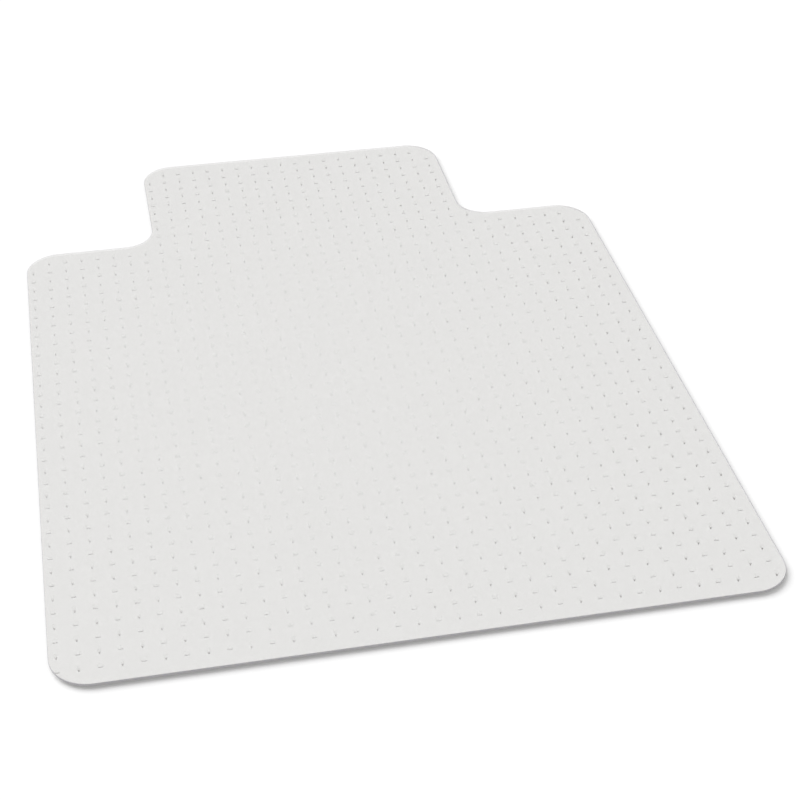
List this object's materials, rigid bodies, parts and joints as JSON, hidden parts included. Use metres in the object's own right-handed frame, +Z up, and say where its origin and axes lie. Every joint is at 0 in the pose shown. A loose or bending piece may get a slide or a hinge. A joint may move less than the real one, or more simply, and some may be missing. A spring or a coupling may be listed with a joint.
{
  "type": "chair mat",
  "caption": "Flat clear floor mat for a desk chair, with rounded corners, a narrower lip that goes under the desk, and short bar cleats underneath that grip the carpet.",
  "frame": {"origin": "at carpet level, on the cleats' tips, under the middle of the mat's bounding box", "axes": "+Z up, +Y from the user's edge towards the lip that goes under the desk, +X to the right"},
  "size_m": [0.9144, 1.2192, 0.0075],
  "materials": {
    "clear_vinyl": "clear, with a fine non-glare grain"
  },
  "bodies": {
    "root": {"sheet": "clear_vinyl", "corner_cleats": "clear_vinyl", "body_crosswise_cleats": "clear_vinyl", "body_lengthwise_cleats": "clear_vinyl", "lip_crosswise_cleats": "clear_vinyl", "lip_lengthwise_cleats": "clear_vinyl"}
  },
  "joints": []
}
